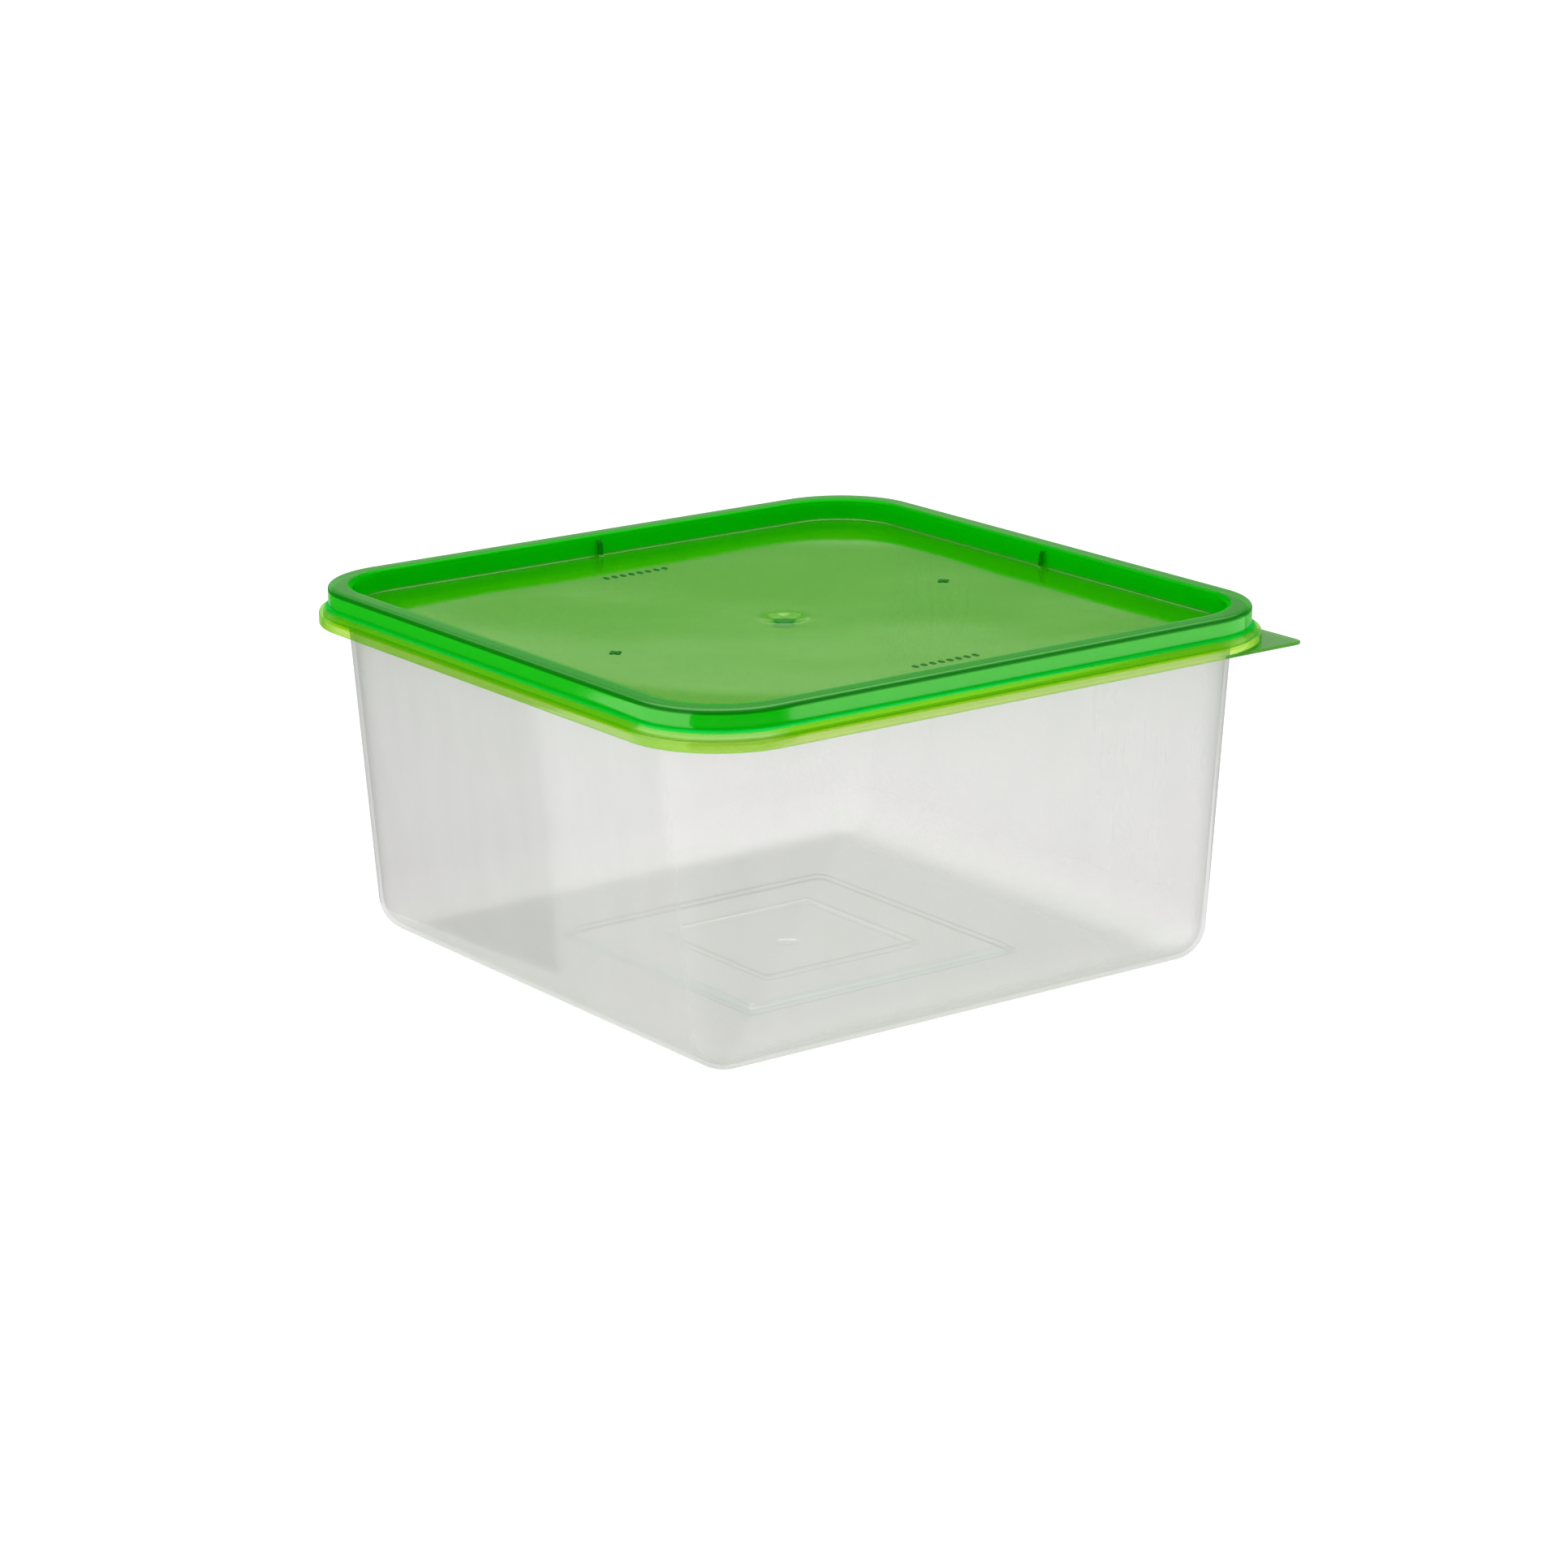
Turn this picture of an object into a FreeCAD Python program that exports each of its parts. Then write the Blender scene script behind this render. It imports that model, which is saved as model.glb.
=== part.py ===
# Snap lid food container: a drafted, round-cornered square tub with a stepped
# rim, a lid whose sunk panel plugs the tub mouth and whose skirt snaps under
# the tub flange, and the thin corner tab that bends up to peel the lid open.
#
# Millimetres, +Z up.  Origin: centre of the base, on the plane it stands on.
# The pull tab is at the +X -Y corner.
import FreeCAD, Part
import os
from math import sin, cos, sqrt, pi, radians
from FreeCAD import Vector as V

os.makedirs("parts", exist_ok=True)

# ---------------------------------------------------------------- dimensions
# A rounded square is (half width a, corner radius r).

# tub
BASE_A, BASE_R = 80.1, 10.0          # theoretical sharp base outline
DRAFT_A, DRAFT_R = 0.0886, 0.134     # growth of a and r per mm of height
BASE_FILLET = 10.4                   # outer radius between base and walls
WALL = 1.1                           # tub wall and floor
RIM_TOP = 94.0                       # top of the stepped rim
SHELF_T = 1.2                        # thickness of the rim shelf
LIP_A, LIP_R = 90.5, 22.3            # outer face of the rim's drop wall
FLANGE_A, FLANGE_R = 93.2, 24.7      # outer edge of the snap flange
FLANGE_Z0, FLANGE_Z1 = 87.4, 88.5    # underside and top of the flange
FOOT_A, FOOT_R = 42.0, 3.0           # square recess under the base
FOOT_IN_A, FOOT_IN_R = 24.0, 2.0     # inner square step of that recess
FOOT_H, FOOT_IN_H = 1.2, 0.5         # rise of the recess, drop of the inner step
GATE_R, GATE_H = 2.75, 0.6           # moulding gate mark at the base centre

# lid
TOP_Z = 95.2                         # top of the lid rim
ROOF_T = 1.2                         # thickness of the rim roof
RIM_A, RIM_R = 92.0, 23.7            # upper band, outer face
BAND_T = 1.1                         # thickness of upper and lower bands
SKIRT_A, SKIRT_R = 94.47, 26.0       # lower band, outer face
SKIRT_Z0 = 85.2                      # lower edge of the skirt
SHOULDER_Z0, SHOULDER_Z1 = 88.4, 90.1  # rounded shoulder between the bands
BEAD_A, BEAD_R = 92.7, 24.2          # crest of the snap bead
BEAD_Z0, BEAD_Z1 = 86.0, 87.2        # lower and upper ends of the snap bead
PLUG_GAP = 0.13                      # plug wall to tub wall
PLUG_T = 1.0                         # plug wall thickness
PANEL_Z, PANEL_T = 89.3, 1.2         # top of the sunk panel, its thickness
DISH_R, DISH_D = 83.0, 0.9           # the panel is very slightly dished
DIMPLE_R, DIMPLE_D = 5.6, 1.3        # round sink at the panel centre
LGATE_R, LGATE_H = 2.3, 0.45         # gate mark in the sink
RIB_W, RIB_H, RIB_D = 1.6, 4.4, 0.9  # small rib at the middle of each plug wall

# pull tab
TAB_Z0, TAB_T = 85.2, 0.9            # underside and thickness of the tab
TAB_TIP_R = 2.2                      # rounding of the tip
TAB_A = 94.47                        # the tab's two edges carry on the skirt faces
HINGE_D = 124.4                      # bend line, distance from the centre along the diagonal
HINGE_GAP = 0.08                     # running gap at the bend line


# ------------------------------------------------------------------- helpers
def rsq(a, r, z):
    """Closed wire: square of half width a with corner radius r at height z."""
    s = a - r
    c = r * sqrt(0.5)
    e = []
    corners = [(s, -s, -90), (s, s, 0), (-s, s, 90), (-s, -s, 180)]
    pts = []
    for cx, cy, a0 in corners:
        p = [V(cx + r * cos(radians(a0 + t)), cy + r * sin(radians(a0 + t)), z)
             for t in (0, 45, 90)]
        pts.append(p)
    for i in range(4):
        p = pts[i]
        q = pts[(i + 1) % 4]
        e.append(Part.Arc(p[0], p[1], p[2]).toShape())
        e.append(Part.makeLine(p[2], q[0]))
    return Part.Wire(e)


def slab(a, r, z0, z1):
    return Part.Face(rsq(a, r, z0)).extrude(V(0, 0, z1 - z0))


def frustum(a0, r0, z0, a1, r1, z1):
    """Solid between two rounded squares."""
    return Part.makeLoft([rsq(a0, r0, z0), rsq(a1, r1, z1)], True, True)


def tub_ar(z, off=0.0):
    """Tub outer wall at height z, moved outward by off."""
    return BASE_A + DRAFT_A * z + off, BASE_R + DRAFT_R * z + off


def edges_at(shape, test):
    return [e for e in shape.Edges if test(e)]


def horizontal_at(z, tol=0.02):
    def t(e):
        b = e.BoundBox
        return abs(b.ZMin - z) < tol and abs(b.ZMax - z) < tol
    return t


def in_square(lo, hi):
    """Edges whose furthest corner in X and Y lies between lo and hi."""
    def t(e):
        b = e.BoundBox
        m = max(abs(b.XMin), abs(b.XMax), abs(b.YMin), abs(b.YMax))
        return lo < m < hi
    return t


def both(t1, t2):
    return lambda e: t1(e) and t2(e)


def fillet(shape, r, test, name):
    es = edges_at(shape, test)
    if not es:
        raise RuntimeError("no edges for " + name)
    out = shape.makeFillet(r, es)
    if not out.isValid() or out.Volume <= 0:
        raise RuntimeError("bad fillet " + name)
    return out


def one(shape, name):
    s = shape.removeSplitter() if hasattr(shape, "removeSplitter") else shape
    if not s.isValid():
        s = shape
    sol = s.Solids
    if len(sol) != 1:
        raise RuntimeError("%s has %d solids" % (name, len(sol)))
    return sol[0]


# ----------------------------------------------------------------- container
# outer body with its large base radius
a1, r1 = tub_ar(RIM_TOP)
outer = frustum(BASE_A, BASE_R, 0, a1, r1, RIM_TOP)
outer = fillet(outer, BASE_FILLET, horizontal_at(0), "tub base outer")

# cavity, one wall thickness inside
zi = WALL
ai0, ri0 = tub_ar(zi, -WALL)
ai1, ri1 = tub_ar(RIM_TOP + 2, -WALL)
cavity = frustum(ai0, ri0, zi, ai1, ri1, RIM_TOP + 2)
cavity = fillet(cavity, BASE_FILLET - WALL, horizontal_at(zi), "tub base inner")

# stepped rim: shelf, drop wall, snap flange
rim = slab(LIP_A, LIP_R, FLANGE_Z0, RIM_TOP)
rim = fillet(rim, 1.0, horizontal_at(RIM_TOP), "rim shelf edge")
rim = rim.fuse(slab(FLANGE_A, FLANGE_R, FLANGE_Z0, FLANGE_Z1))
# hollow under the shelf, between tub wall and drop wall
ah0, rh0 = tub_ar(FLANGE_Z0 - 1)
ah1, rh1 = tub_ar(RIM_TOP - SHELF_T)
under = slab(LIP_A - 1.1, LIP_R - 1.1, FLANGE_Z0 - 1, RIM_TOP - SHELF_T)
rim = rim.cut(under)
tub = outer.fuse(rim)
tub = tub.cut(cavity)

# square platform pressed up in the base at constant thickness, with a shallow
# inner square pressed back down, and the gate mark
rise = frustum(FOOT_A, FOOT_R, -0.01, FOOT_A - FOOT_H, FOOT_R, FOOT_H)
floor_pad = frustum(FOOT_A + 1.0, FOOT_R + 1.0, WALL - 0.3,
                    FOOT_A - FOOT_H + 0.6, FOOT_R + 0.6, WALL + FOOT_H)
drop = frustum(FOOT_IN_A + 0.2, FOOT_IN_R, FOOT_H - FOOT_IN_H,
               FOOT_IN_A + 0.7, FOOT_IN_R, FOOT_H + 0.01)
sink = frustum(FOOT_IN_A - 0.7, FOOT_IN_R, WALL + FOOT_H - FOOT_IN_H,
               FOOT_IN_A - 0.2, FOOT_IN_R, WALL + FOOT_H + 0.5)
tub = tub.fuse(floor_pad)
tub = tub.cut(rise)
tub = tub.fuse(drop)
tub = tub.cut(sink)
gate = Part.makeCylinder(GATE_R, GATE_H, V(0, 0, FOOT_H - FOOT_IN_H - GATE_H + 0.2))
tub = tub.fuse(gate)
container = one(tub, "container")

# ----------------------------------------------------------------------- lid
# outside: skirt, shoulder and upper band
shell = slab(SKIRT_A, SKIRT_R, SKIRT_Z0, SHOULDER_Z0)
shoulder = frustum(SKIRT_A, SKIRT_R, SHOULDER_Z0,
                   RIM_A, RIM_R, SHOULDER_Z1)
upper = slab(RIM_A, RIM_R, SHOULDER_Z1, TOP_Z)
body = shell.fuse([shoulder, upper]).removeSplitter()
body = fillet(body, 1.2, horizontal_at(SHOULDER_Z0), "shoulder outer")
body = fillet(body, 0.9, horizontal_at(SHOULDER_Z1), "shoulder inner")
body = fillet(body, 1.0, horizontal_at(TOP_Z), "rim outer edge")
body = fillet(body, 0.3, horizontal_at(SKIRT_Z0), "skirt lower edge")


def plug(z, extra=0.0):
    """Plug wall outer face at height z, moved outward by extra."""
    return tub_ar(z, -WALL - PLUG_GAP + extra)


# everything below the roof between the plug wall and the bands is open
ROOF_Z = TOP_Z - ROOF_T
channel = slab(RIM_A - BAND_T, RIM_R - BAND_T, SKIRT_Z0 - 1, ROOF_Z)
lower_in = slab(SKIRT_A - BAND_T, SKIRT_R - BAND_T, SKIRT_Z0 - 1, SHOULDER_Z0 + 0.1)
lower_sh = frustum(SKIRT_A - BAND_T, SKIRT_R - BAND_T, SHOULDER_Z0 + 0.1,
                   RIM_A - BAND_T, RIM_R - BAND_T, SHOULDER_Z1 + 0.1)
hollow = channel.fuse([lower_in, lower_sh])
# the plug keeps its own material
p0, q0 = plug(PANEL_Z - PANEL_T)
p1, q1 = plug(ROOF_Z + 0.5)
core = frustum(p0, q0, PANEL_Z - PANEL_T, p1, q1, ROOF_Z + 0.5)
core = fillet(core, 1.2, horizontal_at(PANEL_Z - PANEL_T), "plug lower edge")
hollow = hollow.cut(core)
# snap bead: a low roof-shaped ring on the inside of the skirt
zc = 0.5 * (BEAD_Z0 + BEAD_Z1)
bead_void = Part.makeLoft([rsq(SKIRT_A - BAND_T, SKIRT_R - BAND_T, BEAD_Z0),
                           rsq(BEAD_A, BEAD_R, zc),
                           rsq(SKIRT_A - BAND_T, SKIRT_R - BAND_T, BEAD_Z1)], True, True)
bead = slab(SKIRT_A - BAND_T + 0.3, SKIRT_R - BAND_T + 0.3, BEAD_Z0, BEAD_Z1).cut(bead_void)
body = body.cut(hollow)
body = body.fuse(bead)

# sunk panel: the recess above it
w0, v0 = plug(PANEL_Z, -PLUG_T)
w1, v1 = plug(TOP_Z + 1, -PLUG_T)
recess = frustum(w0, v0, PANEL_Z, w1, v1, TOP_Z + 1)
recess = fillet(recess, 0.9, horizontal_at(PANEL_Z), "panel edge")
body = body.cut(recess)
wt, vt = plug(TOP_Z, -PLUG_T)
body = fillet(body, 1.1, both(horizontal_at(TOP_Z), in_square(wt - 0.5, wt + 0.5)), "rim inner edge")

# the panel is dished: a shallow spherical cap, one panel thickness throughout
dish_c = (DISH_R ** 2 + DISH_D ** 2) / (2 * DISH_D)
dish_o = V(0, 0, PANEL_Z - DISH_D + dish_c)
below = Part.makeSphere(dish_c + PANEL_T, dish_o)
below = below.common(Part.makeCylinder(DISH_R + 0.8, 5.6, V(0, 0, PANEL_Z - 6.0)))
above = Part.makeSphere(dish_c, dish_o)
above = above.common(Part.makeCylinder(DISH_R + 0.8, 3.2, V(0, 0, PANEL_Z - 3.0)))
body = body.fuse(below)
body = body.cut(above)

# round sink at the panel centre with the gate mark
MID_Z = PANEL_Z - DISH_D
sink_c = (DIMPLE_R ** 2 + DIMPLE_D ** 2) / (2 * DIMPLE_D)
under_pad = Part.makeSphere(sink_c + PANEL_T, V(0, 0, MID_Z - DIMPLE_D + sink_c))
under_pad = under_pad.common(Part.makeCylinder(DIMPLE_R + 2.5, 6, V(0, 0, MID_Z - 6.2)))
body = body.fuse(under_pad)
body = body.cut(Part.makeSphere(sink_c, V(0, 0, MID_Z - DIMPLE_D + sink_c)))
lgate = Part.makeCylinder(LGATE_R, LGATE_H + 0.6, V(0, 0, MID_Z - DIMPLE_D - 0.6))
body = body.fuse(lgate)

# small rib at the middle of each plug wall
for k in range(4):
    base = w0 - RIB_D
    zt = PANEL_Z + RIB_H
    prof = Part.makePolygon([V(base, 0, PANEL_Z - 0.3), V(w0 + 0.5, 0, PANEL_Z - 0.3),
                             V(plug(zt, -PLUG_T)[0] + 0.4, 0, zt),
                             V(plug(zt, -PLUG_T)[0] - 0.35, 0, zt),
                             V(base + 0.15, 0, zt - 1.0), V(base, 0, PANEL_Z - 0.3)])
    rib = Part.Face(prof).extrude(V(0, RIB_W, 0))
    rib.translate(V(0, -RIB_W / 2, 0))
    rib.rotate(V(0, 0, 0), V(0, 0, 1), 90 * k)
    body = body.fuse(rib)

# ------------------------------------------------------------------ pull tab
# flat corner sheet between the skirt's round corner and the square's sharp one
U = V(sqrt(0.5), -sqrt(0.5), 0)          # outward along the tab's diagonal
W = V(sqrt(0.5), sqrt(0.5), 0)           # along the bend line
tip_c = TAB_A - TAB_TIP_R
s = TAB_A - SKIRT_R
t = TAB_TIP_R
p_a = V(s, -TAB_A, TAB_Z0)
p_b = V(tip_c, -TAB_A, TAB_Z0)
p_m = V(tip_c + t * sqrt(0.5), -tip_c - t * sqrt(0.5), TAB_Z0)
p_c = V(TAB_A, -tip_c, TAB_Z0)
p_d = V(TAB_A, -s, TAB_Z0)
inner_pt = V(s, -s, TAB_Z0)
outline = Part.Wire([Part.makeLine(p_a, p_b), Part.Arc(p_b, p_m, p_c).toShape(),
                     Part.makeLine(p_c, p_d), Part.makeLine(p_d, inner_pt),
                     Part.makeLine(inner_pt, p_a)])
sheet = Part.Face(outline).extrude(V(0, 0, TAB_T))
inside = slab(SKIRT_A - 0.35, SKIRT_R - 0.35, TAB_Z0 - 1, TAB_Z0 + TAB_T + 1)
sheet = sheet.cut(inside)

zm = TAB_Z0 + TAB_T / 2
far = 60.0


def block(d0, d1, z0, z1):
    """Box across the diagonal from distance d0 to d1."""
    o = U * d0 - W * far + V(0, 0, z0)
    f = Part.Face(Part.makePolygon([o, o + U * (d1 - d0), o + U * (d1 - d0) + W * (2 * far),
                                    o + W * (2 * far), o]))
    return f.extrude(V(0, 0, z1 - z0))


roll_r = TAB_T / 2
# moving part: everything beyond the bend line, with a rounded root
root_axis = U * HINGE_D - W * far + V(0, 0, zm)
root = Part.makeCylinder(roll_r, 2 * far, root_axis, W)
tab = sheet.common(block(HINGE_D, 160, TAB_Z0 - 1, TAB_Z0 + TAB_T + 1))
tab = tab.fuse(root.common(sheet))
pull_tab = one(tab, "pull_tab")
# fixed part: up to the running gap
fixed = sheet.common(block(0, HINGE_D - roll_r - HINGE_GAP, TAB_Z0 - 1, TAB_Z0 + TAB_T + 1))
body = body.fuse(fixed)
lid = one(body, "lid")

# -------------------------------------------------------------------- output
nodes = {"container": container, "lid": lid, "pull_tab": pull_tab}
for name, shape in nodes.items():
    shape.exportStep("parts/%s.step" % name)
    b = shape.BoundBox
    print("%-10s valid=%s vol=%.1f mm3  x %.2f..%.2f  y %.2f..%.2f  z %.2f..%.2f" % (
        name, shape.isValid(), shape.Volume, b.XMin, b.XMax, b.YMin, b.YMax, b.ZMin, b.ZMax))
names = list(nodes)
for i in range(3):
    for j in range(i + 1, 3):
        print(names[i], names[j], "overlap mm3: %.4f" % nodes[names[i]].common(nodes[names[j]]).Volume,
              "gap mm: %.4f" % nodes[names[i]].distToShape(nodes[names[j]])[0])
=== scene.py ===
import bpy
import math
import numpy as np
from mathutils import Matrix, Vector, noise


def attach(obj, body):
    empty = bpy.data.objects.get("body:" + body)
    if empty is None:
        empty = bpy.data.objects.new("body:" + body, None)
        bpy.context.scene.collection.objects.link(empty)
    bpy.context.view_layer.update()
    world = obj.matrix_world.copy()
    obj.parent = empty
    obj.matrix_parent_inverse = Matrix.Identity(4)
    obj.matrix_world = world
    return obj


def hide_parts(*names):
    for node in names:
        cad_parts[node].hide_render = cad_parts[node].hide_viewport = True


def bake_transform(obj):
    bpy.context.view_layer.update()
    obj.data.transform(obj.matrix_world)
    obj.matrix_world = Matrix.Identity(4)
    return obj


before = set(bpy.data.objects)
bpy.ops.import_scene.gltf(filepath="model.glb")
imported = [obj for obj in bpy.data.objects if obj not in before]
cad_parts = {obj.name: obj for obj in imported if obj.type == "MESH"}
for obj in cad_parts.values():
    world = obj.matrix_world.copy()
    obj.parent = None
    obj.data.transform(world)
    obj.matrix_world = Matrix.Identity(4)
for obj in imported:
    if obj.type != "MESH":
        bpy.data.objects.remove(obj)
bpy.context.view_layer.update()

sc = bpy.context.scene
sc.view_settings.view_transform = "Standard"
sc.view_settings.look = "None"
sc.view_settings.exposure = 0.0
sc.view_settings.gamma = 1.0
sc.cycles.max_bounces = 24
sc.cycles.transparent_max_bounces = 32
sc.cycles.transmission_bounces = 12
sc.cycles.diffuse_bounces = 6
sc.cycles.glossy_bounces = 6

# --------------------------------------------------------------------------
# dimensions, in millimetres, the same as the CAD model
# --------------------------------------------------------------------------
BASE_A, BASE_R = 80.1, 10.0
DA, DR = 0.0886, 0.134
WALL = 1.1
RIM_TOP = 94.0
TOP_Z = 95.2
PANEL_Z, PANEL_T = 89.3, 1.2
DISH_R, DISH_D = 83.0, 0.9
SINK_R, SINK_D = 5.6, 1.3
PLUG_GAP, PLUG_T = 0.13, 1.0
FOOT_A, FOOT_IN_A, FOOT_H, FOOT_IN_H = 42.0, 24.0, 1.2, 0.5
TAB_Z0, TAB_T = 85.2, 0.9
RIB_W, RIB_D, RIB_H = 1.6, 0.9, 4.4


def tub_a(z, off=0.0):
    return BASE_A + DA * z + off


def tub_r(z, off=0.0):
    return BASE_R + DR * z + off


# --------------------------------------------------------------------------
# rounded-square rings and swept profiles
# --------------------------------------------------------------------------
NC = 28
SIDE_U = [-1.0, -0.93, -0.82, -0.68, -0.54, -0.4, -0.28, -0.17, -0.09]
SIDE_ABS = [-1.6, -1.05, -0.8, -0.4, 0.0, 0.4, 0.8, 1.05, 1.6]


def side_params(s):
    """Positions along one straight side of half length s, first end included."""
    k = min(1.0, s / 26.0)
    left = [u * s for u in SIDE_U]
    mid = [v * k for v in SIDE_ABS]
    right = [-u * s for u in reversed(SIDE_U)]
    return left + mid + right


NSIDE = len(SIDE_U) * 2 + len(SIDE_ABS)
NCOL = 4 * (NSIDE + NC - 1)


def ring(a, r):
    """NCOL points round a square of half width a with corner radius r."""
    r = min(r, a)
    s = a - r
    pts = []
    for k in range(4):
        c, sn = [(1, 0), (0, 1), (-1, 0), (0, -1)][k]
        for t in side_params(s):
            x, y = a, t
            pts.append((x * c - y * sn, x * sn + y * c))
        for j in range(1, NC):
            th = math.pi / 2 * j / NC
            x, y = s + r * math.cos(th), s + r * math.sin(th)
            pts.append((x * c - y * sn, x * sn + y * c))
    return pts


def rib_columns():
    """Column index -> height share of the rib there."""
    out = {}
    for k in range(4):
        base = k * (NSIDE + NC - 1) + len(SIDE_U)
        for i, v in enumerate(SIDE_ABS):
            if abs(v) <= 0.8001:
                out[base + i] = (1.0, k)
    return out


def rounded(points, nmin=4):
    """points: (a, z, fillet). Returns the polyline with its corners filleted."""
    out = []
    n = len(points)
    for i, (a, z, f) in enumerate(points):
        p = np.array([a, z], float)
        if f <= 0 or i in (0, n - 1):
            out.append(tuple(p))
            continue
        q0 = np.array(points[i - 1][:2], float)
        q1 = np.array(points[i + 1][:2], float)
        u0 = (q0 - p) / np.linalg.norm(q0 - p)
        u1 = (q1 - p) / np.linalg.norm(q1 - p)
        cosang = float(np.clip(u0 @ u1, -1, 1))
        ang = math.acos(cosang)
        if ang > math.pi - 1e-3:
            out.append(tuple(p))
            continue
        t = f / math.tan(ang / 2)
        lim = 0.499 * min(np.linalg.norm(q0 - p), np.linalg.norm(q1 - p))
        if t > lim:
            t = lim
            f = t * math.tan(ang / 2)
        c = p + (u0 + u1) / np.linalg.norm(u0 + u1) * (f / math.sin(ang / 2))
        s0 = p + u0 * t
        s1 = p + u1 * t
        a0 = math.atan2(*(s0 - c)[::-1])
        a1 = math.atan2(*(s1 - c)[::-1])
        d = (a1 - a0 + math.pi) % (2 * math.pi) - math.pi
        seg = max(nmin, int(abs(d) / math.radians(9)))
        for j in range(seg + 1):
            th = a0 + d * j / seg
            out.append((c[0] + f * math.cos(th), c[1] + f * math.sin(th)))
    return out


def split_long(poly, longest):
    """Adds points so that no step of the profile is longer than longest."""
    out = [poly[0]]
    for p, q in zip(poly[:-1], poly[1:]):
        L = math.hypot(q[0] - p[0], q[1] - p[1])
        m = max(1, int(math.ceil(L / longest)))
        for j in range(1, m + 1):
            out.append((p[0] + (q[0] - p[0]) * j / m, p[1] + (q[1] - p[1]) * j / m))
    return out


def sweep(name, rings, cap_lo=None, cap_hi=None, tweak=None):
    """rings: list of (a, z, r). Ends closed by a pole at height cap_lo / cap_hi."""
    verts = []
    for i, (a, z, r) in enumerate(rings):
        for j, (x, y) in enumerate(ring(a, r)):
            verts.append([x, y, z])
    V = np.array(verts, float)
    if tweak is not None:
        V = tweak(V.reshape(len(rings), NCOL, 3)).reshape(-1, 3)
    verts = V.tolist()
    faces = []
    for i in range(len(rings) - 1):
        for j in range(NCOL):
            k = (j + 1) % NCOL
            faces.append((i * NCOL + j, i * NCOL + k, (i + 1) * NCOL + k, (i + 1) * NCOL + j))
    if cap_lo is not None:
        verts.append([0, 0, cap_lo])
        c = len(verts) - 1
        for j in range(NCOL):
            faces.append((c, (j + 1) % NCOL, j))
    if cap_hi is not None:
        verts.append([0, 0, cap_hi])
        c = len(verts) - 1
        b = (len(rings) - 1) * NCOL
        for j in range(NCOL):
            faces.append((c, b + j, b + (j + 1) % NCOL))
    return make_mesh(name, verts, faces)


def make_mesh(name, verts, faces, smooth=True):
    me = bpy.data.meshes.new(name)
    me.from_pydata([[c / 1000.0 for c in v] for v in verts], [], faces)
    me.validate()
    me.update()
    o = bpy.data.objects.new(name, me)
    sc.collection.objects.link(o)
    import bmesh
    bm = bmesh.new()
    bm.from_mesh(me)
    bmesh.ops.remove_doubles(bm, verts=bm.verts, dist=1e-7)
    bmesh.ops.recalc_face_normals(bm, faces=bm.faces)
    bm.to_mesh(me)
    bm.free()
    if smooth:
        for p in me.polygons:
            p.use_smooth = True
        me.set_sharp_from_angle(angle=math.radians(38))
    return o


# --------------------------------------------------------------------------
# container
# --------------------------------------------------------------------------
def r_wall(a, z, off):
    """Corner radius of a tub surface point, falling with the inset of the base fillet."""
    return max(tub_r(z, off) - (tub_a(z, off) - a), 1.0)


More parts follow.
